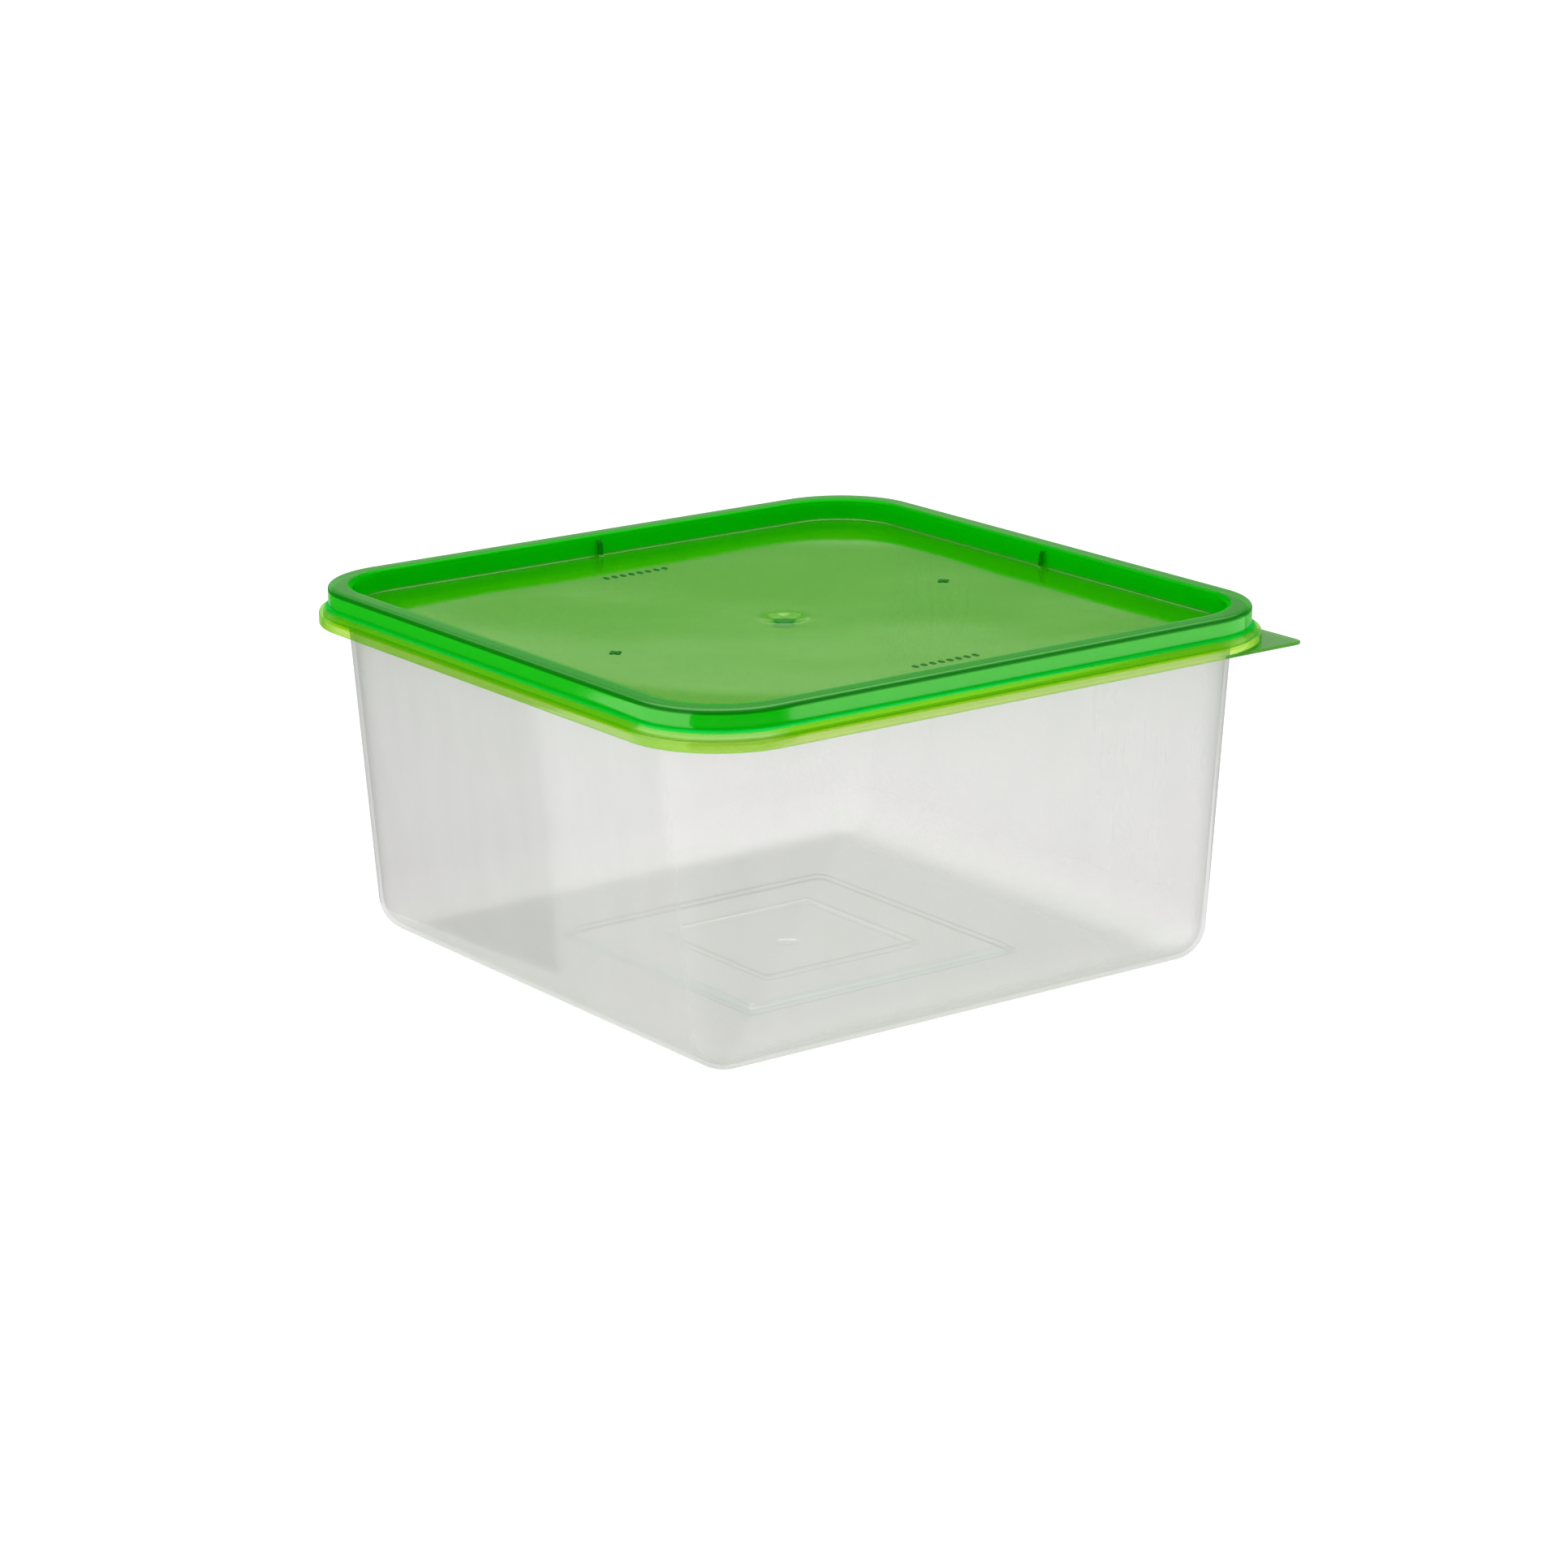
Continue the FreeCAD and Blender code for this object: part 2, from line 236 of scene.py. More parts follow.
def build_container():
    rings = []
    zi = WALL + FOOT_H - FOOT_IN_H
    # inside of the base, from the centre out
    for a in (0.8, 1.6, 2.3, 2.7):
        rings.append((a, zi + 0.35, a))
    rings += [(2.95, zi + 0.25, 2.95), (3.15, zi + 0.05, 3.15), (3.4, zi, 3.4)]
    for a, r in ((5, 5), (8, 7), (12, 7), (16, 5.5), (20, 3.5), (22.3, 2.4)):
        rings.append((a, zi, r))
    step = rounded([(22.9, zi, 0), (FOOT_IN_A - 0.7, zi, 0.25),
                    (FOOT_IN_A - 0.2, WALL + FOOT_H, 0.25), (FOOT_IN_A + 0.8, WALL + FOOT_H, 0)])
    rings += [(a, z, 2.2) for a, z in step]
    for a in (28, 32, 36, 39):
        rings.append((a, WALL + FOOT_H, 3.0))
    step = rounded([(40.2, WALL + FOOT_H, 0), (FOOT_A - FOOT_H + 0.6, WALL + FOOT_H, 0.35),
                    (FOOT_A + 0.75, WALL, 0.35), (44.2, WALL, 0)])
    rings += [(a, z, 3.6) for a, z in step]
    for a in (46.5, 49):
        rings.append((a, WALL, 3.0))
    # inner wall, rim, flange
    ai0 = tub_a(WALL, -WALL)
    inner = rounded([(52.0, WALL, 0), (ai0, WALL, 9.3), (tub_a(RIM_TOP, -WALL), RIM_TOP, 0.45),
                     (90.5, RIM_TOP, 1.0), (90.5, 88.5, 0.25), (93.2, 88.5, 0.25),
                     (93.2, 87.4, 0.25), (89.4, 87.4, 0.2), (89.4, 92.8, 0.35),
                     (tub_a(92.8), 92.8, 0.35), (BASE_A, 0, 10.4), (52.0, 0, 0)], 5)
    pts = split_long(inner, 4.0)
    n_in = None
    for k, (a, z) in enumerate(pts):
        if n_in is None and a > 87.9 and z > 93.9:
            n_in = k
    last_out = None
    for k in range(len(pts) - 1, 0, -1):
        if pts[k][1] > 92.6:
            last_out = k
            break
    for k, (a, z) in enumerate(pts):
        if k <= n_in:
            r = r_wall(a, z, -WALL)
        elif k >= last_out:
            r = r_wall(a, z, 0.0)
        else:
            # rim: corner radius grows with the outward offset
            r = np.interp(a, [tub_a(93, -WALL), tub_a(93), 90.5, 93.2],
                          [tub_r(93, -WALL), tub_r(93), 22.3, 24.7])
        rings.append((a, z, float(r)))
    # underside of the base
    for a in (49, 46.5):
        rings.append((a, 0, 3.0))
    step = rounded([(43.6, 0, 0), (FOOT_A, 0, 0.3), (FOOT_A - FOOT_H, FOOT_H, 0.3), (39.4, FOOT_H, 0)])
    rings += [(a, z, 3.0) for a, z in step]
    for a in (36, 32, 28, 26):
        rings.append((a, FOOT_H, 3.0))
    step = rounded([(25.4, FOOT_H, 0), (FOOT_IN_A + 0.7, FOOT_H, 0.2),
                    (FOOT_IN_A + 0.2, FOOT_H - FOOT_IN_H, 0.2), (23.4, FOOT_H - FOOT_IN_H, 0)])
    rings += [(a, z, 2.2) for a, z in step]
    zu = FOOT_H - FOOT_IN_H
    for a, r in ((21, 3), (17, 5), (12, 7), (8, 7), (5, 5), (3.2, 3.2)):
        rings.append((a, zu, r))
    rings += [(2.85, zu - 0.05, 2.85), (2.75, zu - 0.25, 2.75), (2.5, zu - 0.38, 2.5)]
    for a in (1.8, 0.9):
        rings.append((a, zu - 0.4, a))

    def tweak(R):
        # moulded walls sink in a little between the corners
        x, y, z = R[..., 0], R[..., 1], R[..., 2]
        h = np.clip(z / 80.0, 0, 1)
        bow = 0.30 * np.sin(np.pi * np.clip(h, 0, 1)) ** 1.2
        wide = np.clip(1 - (np.minimum(np.abs(x), np.abs(y)) / 68.0) ** 2, 0, 1) ** 2
        far = np.maximum(np.abs(x), np.abs(y)) > 76
        m = bow * wide * far
        sx = np.where(np.abs(x) >= np.abs(y), np.sign(x), 0)
        sy = np.where(np.abs(y) > np.abs(x), np.sign(y), 0)
        R[..., 0] -= sx * m
        R[..., 1] -= sy * m
        return R

    return sweep("container_shell", rings, cap_lo=zi + 0.35, cap_hi=zu - 0.4, tweak=tweak)


# --------------------------------------------------------------------------
# lid
# --------------------------------------------------------------------------
def plug_a(z, extra=0.0):
    return tub_a(z, -WALL - PLUG_GAP + extra)


def plug_r(z, extra=0.0):
    return tub_r(z, -WALL - PLUG_GAP + extra)


def sag(a):
    """Shape of the round sink at the panel centre."""
    R = SINK_R + 0.8
    if a >= R:
        return 0.0
    k = 1 - (a / R) ** 2
    return -SINK_D * 0.97 * k ** 1.25


def dish(x, y):
    """The panel's shallow dish."""
    d = math.hypot(x, y) / DISH_R
    return -DISH_D * max(0.0, 1 - d * d)


def panel_wave(x, y):
    """Low waves of the moulded panel, in millimetres, nothing at its edge."""
    m = max(abs(x), abs(y))
    fade = min(1.0, max(0.0, (84.0 - m) / 16.0))
    fade = fade * fade * (3 - 2 * fade)
    v = noise.noise(Vector((x / 47.0 + 3.1, y / 39.0 - 1.7, 0.3))) * 0.14
    v += noise.noise(Vector((x / 21.0 - 5.0, y / 24.0 + 2.2, 1.9))) * 0.03
    return v * fade


def build_lid():
    rings = []
    zg = PANEL_Z - SINK_D + 0.45
    for a in (0.8, 1.5, 2.0):
        rings.append((a, zg, a))
    rings += [(2.2, zg - 0.06, 2.2), (2.3, zg - 0.25, 2.3), (2.36, PANEL_Z + sag(2.36), 2.36)]
    for a in (2.8, 3.3, 3.8, 4.3, 4.8, 5.3, 5.7, 6.0, 6.3, 7.0, 9.0, 11.2):
        rings.append((a, PANEL_Z + sag(a), a))
    for a, r in ((13, 12.5), (16, 13.5), (20, 14), (24, 14.5), (28, 15), (32, 15.5), (36, 16), (40, 16.5), (44, 17),
                 (48, 17.5), (52, 18), (56, 18.5), (60, 19), (64, 19.3), (68, 19.6), (72, 19.8), (76, 19.9), (80, 19.9), (82.6, 19.9)):
        rings.append((a, PANEL_Z, r))
    w0, v0 = plug_a(PANEL_Z, -PLUG_T), plug_r(PANEL_Z, -PLUG_T)
    wt, vt = plug_a(TOP_Z, -PLUG_T), plug_r(TOP_Z, -PLUG_T)
    skin = rounded([(83.6, PANEL_Z, 0), (w0, PANEL_Z, 0.9), (wt, TOP_Z, 1.1), (92.0, TOP_Z, 1.0),
                    (92.0, 90.1, 0.9), (94.47, 88.4, 1.2), (94.47, 85.2, 0.3), (93.37, 85.2, 0.25),
                    (93.37, 86.0, 0.3), (92.7, 86.6, 0.35), (93.37, 87.2, 0.3), (93.37, 88.5, 0.4),
                    (90.9, 90.2, 0.4), (90.9, 94.0, 0.4),
                    (plug_a(94.0), 94.0, 0.4), (plug_a(PANEL_Z - PANEL_T), PANEL_Z - PANEL_T, 1.2),
                    (84.0, PANEL_Z - PANEL_T, 0)], 5)
    skin = split_long(skin, 0.9)
    top_i = max(range(len(skin)), key=lambda i: skin[i][1])
    for k, (a, z) in enumerate(skin):
        if k <= top_i:
            r = np.interp(a, [84.2, w0, wt, 92.0], [19.6, v0, vt, 23.7])
        else:
            r = np.interp(a, [84.0, plug_a(PANEL_Z), plug_a(94.0), 90.9, 92.0, 93.37, 94.47],
                          [19.6, plug_r(PANEL_Z), plug_r(94.0), 22.6, 23.7, 24.9, 26.0])
        rings.append((a, z, float(r)))
    for a, r in ((83, 19.9), (80, 19.9), (76, 19.9), (72, 19.8), (68, 19.6), (64, 19.3), (60, 19), (56, 18.5), (52, 18),
                 (48, 17.5), (44, 17), (40, 16.5), (36, 16), (32, 15.5), (28, 15), (24, 14.5), (20, 14), (16, 13.5), (13, 12.5)):
        rings.append((a, PANEL_Z - PANEL_T, r))
    for a in (11.2, 9.3, 7.3, 6.2, 5.3, 4.3, 3.3, 1.5):
        rings.append((a, PANEL_Z - PANEL_T + sag(a), a))

    n_top = sum(1 for q in rings if True)
    cols = rib_columns()

    def tweak(R):
        nr = R.shape[0]
        top_ring = int(np.argmax(R[:, 0, 2]))
        for i in range(nr):
            for j in range(NCOL):
                x, y, z = R[i, j]
                m = max(abs(x), abs(y))
                if m < 84.5 and z < PANEL_Z + 0.9:
                    R[i, j, 2] += panel_wave(x, y) + dish(x, y)
        # ribs on the inner wall
        for i in range(top_ring):
            z = R[i, 0, 2]
            if z < PANEL_Z + 0.02 or z > PANEL_Z + RIB_H:
                continue
            top = PANEL_Z + RIB_H
            d = RIB_D * min(1.0, (top - z) / 0.5 * 0.5 + 0.5)
            if z > top - 0.4:
                d *= (top - z) / 0.4
            for j, (share, k) in cols.items():
                nx, ny = [(1, 0), (0, 1), (-1, 0), (0, -1)][k]
                R[i, j, 0] -= nx * d * share
                R[i, j, 1] -= ny * d * share
        return R

    return sweep("lid_shell", rings, cap_lo=zg - DISH_D + panel_wave(0, 0),
                 cap_hi=PANEL_Z - PANEL_T - SINK_D * 0.97 - DISH_D + panel_wave(0, 0), tweak=tweak)


# --------------------------------------------------------------------------
# pull tab: one sheet from the skirt to the tip
# --------------------------------------------------------------------------
def build_tab():
    c = 94.47 - 26.0
    r_in = 25.55
    tip_r = 2.2
    nth, nv = 96, 22
    tip_c = 94.47 - tip_r
    verts, faces = [], []

    def r_out(th):
        """Distance from the corner centre to the tab's outer edge, th from 0 to 90."""
        dx, dy = math.cos(th), math.sin(th)
        d = min(26.0 / max(dx, 1e-9), 26.0 / max(dy, 1e-9))
        x, y = dx * d, dy * d
        k = 26.0 - tip_r
        if x > k and y > k:
            # rounded tip: circle centred (k, k), radius tip_r
            b = k * (dx + dy)
            q = b * b - (2 * k * k - tip_r * tip_r)
            d = b + math.sqrt(max(q, 0))
        return d

    t = TAB_T
    e = 0.32
    for i in range(nth + 1):
        th = math.radians(90.0 * i / nth)
        ro = max(r_out(th), 26.0)
        prof = []
        for j in range(nv + 1):
            prof.append((r_in + (ro - e - r_in) * j / nv, TAB_Z0))
        for j in range(1, 6):
            ph = -math.pi / 2 + math.pi * j / 6
            prof.append((ro - e + e * math.cos(ph), TAB_Z0 + t / 2 + t / 2 * math.sin(ph)))
        for j in range(nv + 1):
            prof.append((ro - e - (ro - e - r_in) * j / nv, TAB_Z0 + t))
        for rr, z in prof:
            verts.append([c + rr * math.cos(th), -(c + rr * math.sin(th)), z])
    m = 2 * (nv + 1) + 5
    for i in range(nth):
        for j in range(m):
            k = (j + 1) % m
            faces.append((i * m + j, i * m + k, (i + 1) * m + k, (i + 1) * m + j))
    faces.append(tuple(range(m)))
    faces.append(tuple(nth * m + j for j in reversed(range(m))))
    # the inner corner of the square is +X -Y, so the sheet's end faces lie inside the skirt wall
    return make_mesh("tab_sheet", verts, faces)


def build_marks():
    """Small raised moulding marks on the panel: two crosses and two plain bars."""
    import bmesh
    bm = bmesh.new()

    def bar(cx, cy, lx, ly, h):
        z0 = PANEL_Z + panel_wave(cx, cy) + dish(cx, cy) - 0.15
        n = 6
        top = []
        bot = []
        r = min(lx, ly) / 2 * 0.9
        pts = []
        for sx, sy, a0 in ((1, -1, -90), (1, 1, 0), (-1, 1, 90), (-1, -1, 180)):
            for j in range(n + 1):
                th = math.radians(a0 + 90.0 * j / n)
                pts.append((cx + sx * (lx / 2 - r) + r * math.cos(th), cy + sy * (ly / 2 - r) + r * math.sin(th)))
        lo = [bm.verts.new((x / 1000, y / 1000, z0 / 1000)) for x, y in pts]
        mi = [bm.verts.new((x / 1000, y / 1000, (z0 + h + 0.05) / 1000)) for x, y in pts]
        hi = [bm.verts.new(((cx + (x - cx) * 0.82) / 1000, (cy + (y - cy) * 0.82) / 1000, (z0 + h + 0.15) / 1000)) for x, y in pts]
        m = len(pts)
        for j in range(m):
            k = (j + 1) % m
            bm.faces.new((lo[j], lo[k], mi[k], mi[j]))
            bm.faces.new((mi[j], mi[k], hi[k], hi[j]))
        bm.faces.new(hi)
        bm.faces.new(list(reversed(lo)))

    for s in (-1, 1):
        bar(s * 56.4, s * 5.6, 3.6, 1.1, 0.25)
        bar(s * 56.4, s * 5.6, 1.1, 3.6, 0.26)
        for k in range(8):
            bar(s * (-12.6 + 2.7 * k), s * 63.6, 1.2, 2.3, 0.15)
    me = bpy.data.meshes.new("lid_marks")
    bmesh.ops.recalc_face_normals(bm, faces=bm.faces)
    bm.to_mesh(me)
    bm.free()
    for p in me.polygons:
        p.use_smooth = True
    me.set_sharp_from_angle(angle=math.radians(40))
    o = bpy.data.objects.new("lid_marks", me)
    sc.collection.objects.link(o)
    return o


# --------------------------------------------------------------------------
# materials
# --------------------------------------------------------------------------
def ring_side(N, x, y):
    """Half width of the rounded square through a point of the rim."""
    c = 0.0675
    qx = N.math("MAXIMUM", N.math("SUBTRACT", N.math("ABSOLUTE", x), c), 0.0)
    qy = N.math("MAXIMUM", N.math("SUBTRACT", N.math("ABSOLUTE", y), c), 0.0)
    q = N.math("ADD", N.math("MULTIPLY", qx, qx), N.math("MULTIPLY", qy, qy))
    return N.math("ADD", N.math("SQRT", q), c)


def wall_zone(N, x, y, z):
    """The wall round the sunk panel, up to the roof."""
    inside = N.ramp(ring_side(N, x, y), 0.0868, 0.0874, 1.0, 0.0)
    over = N.ramp(z, (PANEL_Z + 0.45) / 1000, (PANEL_Z + 0.9) / 1000, 0.0, 1.0)
    return N.math("MULTIPLY", inside, over)


class Nodes:
    def __init__(self, name):
        self.mat = bpy.data.materials.new(name)
        self.mat.use_nodes = True
        self.t = self.mat.node_tree
        self.t.nodes.clear()

    def n(self, kind, **kw):
        node = self.t.nodes.new(kind)
        for k, v in kw.items():
            if k.startswith("i_"):
                node.inputs[k[2:].replace("_", " ")].default_value = v
            else:
                setattr(node, k, v)
        return node

    def l(self, a, b):
        self.t.links.new(a, b)

    def rgb(self, c):
        node = self.n("ShaderNodeRGB")
        node.outputs[0].default_value = (c[0], c[1], c[2], 1.0)
        return node.outputs[0]

    def val(self, v):
        node = self.n("ShaderNodeValue")
        node.outputs[0].default_value = v
        return node.outputs[0]

    def math(self, op, a, b=None):
        node = self.n("ShaderNodeMath", operation=op)
        self.l(a, node.inputs[0])
        if b is not None:
            if isinstance(b, (int, float)):
                node.inputs[1].default_value = b
            else:
                self.l(b, node.inputs[1])
        return node.outputs[0]

    def ramp(self, s, lo, hi, out_lo, out_hi):
        node = self.n("ShaderNodeMapRange")
        node.inputs["From Min"].default_value = lo
        node.inputs["From Max"].default_value = hi
        node.inputs["To Min"].default_value = out_lo
        node.inputs["To Max"].default_value = out_hi
        self.l(s, node.inputs["Value"])
        return node.outputs["Result"]

    def mix_rgb(self, f, a, b):
        node = self.n("ShaderNodeMixRGB", blend_type="MIX")
        self.l(f, node.inputs["Fac"])
        self.l(a, node.inputs["Color1"])
        self.l(b, node.inputs["Color2"])
        return node.outputs["Color"]

    def mix_val(self, f, a, b):
        d = self.math("SUBTRACT", b, a)
        m = self.math("MULTIPLY", d, f)
        return self.math("ADD", m, a)


def col(r, g, b):
    return (r, g, b, 1.0)


def plastic(name, haze, tint, clear, rough, backscatter, gloss_ior, milk_scale=22.0, edge=0.35,
            bump=0.02, wear=0.25, flow=(1.0, 1.0, 0.25), gloss=(1.0, 1.0, 1.0), graze=1.0, uneven=0.07, deep=1.0, zones=None):
    """Moulded polypropylene: part clear, part milky, with a glossy skin that is uneven at several scales.

    zones: list of (mask, tint, clear, gloss tint, haze); mask takes (Nodes, x, y, z sockets), returns a 0..1 socket."""
    N = Nodes(name)
    tc = N.n("ShaderNodeTexCoord")
    mp = N.n("ShaderNodeMapping")
    mp.inputs["Scale"].default_value = (flow[0], flow[1], flow[2])
    N.l(tc.outputs["Object"], mp.inputs["Vector"])
    big = N.n("ShaderNodeTexNoise", i_Scale=milk_scale, i_Detail=4.0, i_Roughness=0.55)
    N.l(mp.outputs["Vector"], big.inputs["Vector"])
    fine = N.n("ShaderNodeTexNoise", i_Scale=900.0, i_Detail=3.0, i_Roughness=0.6)
    N.l(tc.outputs["Object"], fine.inputs["Vector"])
    mid = N.n("ShaderNodeTexNoise", i_Scale=120.0, i_Detail=3.0, i_Roughness=0.5)
    N.l(mp.outputs["Vector"], mid.inputs["Vector"])
    # hairline scratches: a stretched noise, thresholded
    sm = N.n("ShaderNodeMapping")
    sm.inputs["Rotation"].default_value = (0.3, 0.5, 0.7)
    sm.inputs["Scale"].default_value = (1.0, 14.0, 14.0)
    N.l(tc.outputs["Object"], sm.inputs["Vector"])
    scr = N.n("ShaderNodeTexNoise", i_Scale=60.0, i_Detail=2.0, i_Roughness=0.5)
    N.l(sm.outputs["Vector"], scr.inputs["Vector"])
    scr_r = N.ramp(scr.outputs["Fac"], 0.66, 0.74, 0.0, 1.0)

    # how clear and which tint, by zone
    tint_s, clear_s, gloss_s, haze_s = N.rgb(tint), N.val(clear), N.rgb(gloss), N.rgb(haze)
    if zones:
        sep = N.n("ShaderNodeSeparateXYZ")
        N.l(tc.outputs["Object"], sep.inputs["Vector"])
        for mask, ztint, zclear, zgloss, zhaze in zones:
            m_s = mask(N, sep.outputs["X"], sep.outputs["Y"], sep.outputs["Z"])
            tint_s = N.mix_rgb(m_s, tint_s, N.rgb(ztint))
            clear_s = N.mix_val(m_s, clear_s, N.val(zclear))
            gloss_s = N.mix_rgb(m_s, gloss_s, N.rgb(zgloss))
            haze_s = N.mix_rgb(m_s, haze_s, N.rgb(zhaze))
    patchy = N.ramp(big.outputs["Fac"], 0.3, 0.7, 1.0 + uneven, 1.0 - uneven)
    lw = N.n("ShaderNodeLayerWeight", i_Blend=0.25)
    inv = N.ramp(lw.outputs["Facing"], 0.0, 1.0, 1.0, edge)
    thin = N.math("MULTIPLY", N.math("MULTIPLY", clear_s, patchy), inv)

    # haze colour, slightly uneven
    hz = N.n("ShaderNodeVectorMath", operation="SCALE")
    N.l(haze_s, hz.inputs[0])
    N.l(N.ramp(mid.outputs["Fac"], 0.25, 0.75, 1.0, 0.95), hz.inputs["Scale"])

    bmp = N.n("ShaderNodeBump", i_Strength=bump, i_Distance=0.001)
    bsum = N.n("ShaderNodeMath", operation="MULTIPLY_ADD")
    N.l(mid.outputs["Fac"], bsum.inputs[0])
    bsum.inputs[1].default_value = 2.0
    N.l(fine.outputs["Fac"], bsum.inputs[2])
    N.l(bsum.outputs["Value"], bmp.inputs["Height"])

    dif = N.n("ShaderNodeBsdfDiffuse")
    trl = N.n("ShaderNodeBsdfTranslucent")
    N.l(hz.outputs["Vector"], dif.inputs["Color"])
    N.l(hz.outputs["Vector"], trl.inputs["Color"])
    N.l(bmp.outputs["Normal"], dif.inputs["Normal"])
    haze_mix = N.n("ShaderNodeMixShader")
    haze_mix.inputs["Fac"].default_value = 1.0 - backscatter
    N.l(dif.outputs["BSDF"], haze_mix.inputs[1])
    N.l(trl.outputs["BSDF"], haze_mix.inputs[2])
    tra = N.n("ShaderNodeBsdfTransparent")
    # a slanting path through the wall passes more plastic
    slant = N.n("ShaderNodeLayerWeight", i_Blend=0.5)
    depth = N.ramp(N.math("POWER", slant.outputs["Facing"], 2.0), 0.1, 1.0, 1.0, deep)
    dark = N.n("ShaderNodeVectorMath", operation="SCALE")
    N.l(tint_s, dark.inputs[0])
    N.l(depth, dark.inputs["Scale"])
    N.l(dark.outputs["Vector"], tra.inputs["Color"])
    body = N.n("ShaderNodeMixShader")
    N.l(thin, body.inputs["Fac"])
    N.l(haze_mix.outputs["Shader"], body.inputs[1])
    N.l(tra.outputs["BSDF"], body.inputs[2])

    rgh = N.ramp(big.outputs["Fac"], 0.3, 0.7, rough * 0.8, rough * 1.3)
    rsc = N.n("ShaderNodeMath", operation="MULTIPLY_ADD")
    N.l(scr_r, rsc.inputs[0])
    rsc.inputs[1].default_value = wear
    N.l(rgh, rsc.inputs[2])
    gls = N.n("ShaderNodeBsdfGlossy")
    N.l(gloss_s, gls.inputs["Color"])
    N.l(rsc.outputs["Value"], gls.inputs["Roughness"])
    N.l(bmp.outputs["Normal"], gls.inputs["Normal"])
    # the same reflectance from both sides of the skin (Schlick), since thin walls don't bend the view
    f0 = ((gloss_ior - 1) / (gloss_ior + 1)) ** 2
    fl = N.n("ShaderNodeLayerWeight", i_Blend=0.5)
    N.l(bmp.outputs["Normal"], fl.inputs["Normal"])
    f5 = N.math("POWER", fl.outputs["Facing"], 5.0)
    fr = N.ramp(f5, 0.0, 1.0, f0, graze)
    out_mix = N.n("ShaderNodeMixShader")
    N.l(fr, out_mix.inputs["Fac"])
    N.l(body.outputs["Shader"], out_mix.inputs[1])
    N.l(gls.outputs["BSDF"], out_mix.inputs[2])
    out = N.n("ShaderNodeOutputMaterial")
    N.l(out_mix.outputs["Shader"], out.inputs["Surface"])
    return N.mat


def below_z(z0, z1):
    return lambda N, x, y, z: N.ramp(z, z0 / 1000, z1 / 1000, 1.0, 0.0)


def above_z(z0, z1):
    return lambda N, x, y, z: N.ramp(z, z0 / 1000, z1 / 1000, 0.0, 1.0)


def panel_zone(N, x, y, z):
    """The sunk panel, inside its wall."""
    inside = N.ramp(ring_side(N, x, y), 0.0848, 0.0856, 1.0, 0.0)
    low = N.ramp(z, (PANEL_Z + 0.25) / 1000, (PANEL_Z + 0.7) / 1000, 1.0, 0.0)
    return N.math("MULTIPLY", inside, low)


def base_zone(N, x, y, z):
    """The floor of the tub, thickening softly towards its middle."""
    a = N.math("MAXIMUM", N.math("ABSOLUTE", x), N.math("ABSOLUTE", y))
    return N.math("MULTIPLY", N.ramp(a, 0.046, 0.080, 1.0, 0.0), N.ramp(z, 0.0025, 0.004, 1.0, 0.0))


def step_shade_band(at, half):
    """Painted shade: a darker grey-green band along a square step of the base."""
    def mask(N, x, y, z):
        a = N.math("MAXIMUM", N.math("ABSOLUTE", x), N.math("ABSOLUTE", y))
        d = N.math("ABSOLUTE", N.math("SUBTRACT", a, at / 1000))
        return N.math("MULTIPLY", N.ramp(d, half * 0.6 / 1000, half / 1000, 1.0, 0.0), N.ramp(z, 0.0025, 0.004, 1.0, 0.0))
    return mask


def band(N, v, lo, hi, soft):
    """1 between lo and hi (mm), with soft ends."""
    up = N.ramp(v, (lo - soft) / 1000, (lo + soft) / 1000, 0.0, 1.0)
    dn = N.ramp(v, (hi - soft) / 1000, (hi + soft) / 1000, 1.0, 0.0)
    return N.math("MULTIPLY", up, dn)


def big_side(N, x, y):
    return N.math("MAXIMUM", N.math("ABSOLUTE", x), N.math("ABSOLUTE", y))


def small_side(N, x, y):
    return N.math("MINIMUM", N.math("ABSOLUTE", x), N.math("ABSOLUTE", y))


def roof_zone(N, x, y, z):
    """The flat top of the rim."""
    return N.ramp(z, (TOP_Z - 0.45) / 1000, (TOP_Z - 0.15) / 1000, 0.0, 1.0)


def roof_edge_shade(N, x, y, z):
    """The two rolled edges of the rim's top, darkened by a painted shade, their reflection dimmed too."""
    up = N.ramp(z, (TOP_Z - 1.5) / 1000, (TOP_Z - 1.1) / 1000, 0.0, 1.0)
    top = N.ramp(z, (TOP_Z - 0.25) / 1000, (TOP_Z - 0.08) / 1000, 1.0, 0.0)
    return N.math("MULTIPLY", up, top)


def falloff_shade_zone(N, x, y, z):
    """Painted shade: the tub made darker towards the tab corner and the one opposite, standing in for the falloff of
    the light.
    """
    d = N.math("ABSOLUTE", N.math("SUBTRACT", x, y))
    return N.ramp(d, 0.060, 0.175, 0.0, 1.0)


def skirt_corner_light(N, x, y, z):
    """Painted light: the skirt made paler round its corners."""
    m = N.ramp(small_side(N, x, y), 0.066, 0.073, 0.0, 1.0)
    return N.math("MULTIPLY", m, N.ramp(z, 0.0892, 0.0896, 1.0, 0.0))


def rib_zone(N, x, y, z):
    """The short ribs halfway along each inner wall."""
    a = band(N, big_side(N, x, y), 84.0, 87.0, 0.1)
    w = N.ramp(small_side(N, x, y), 0.0008, 0.0010, 1.0, 0.0)
    h = band(N, z, PANEL_Z + 0.6, PANEL_Z + 4.6, 0.2)
    return N.math("MULTIPLY", N.math("MULTIPLY", a, w), h)


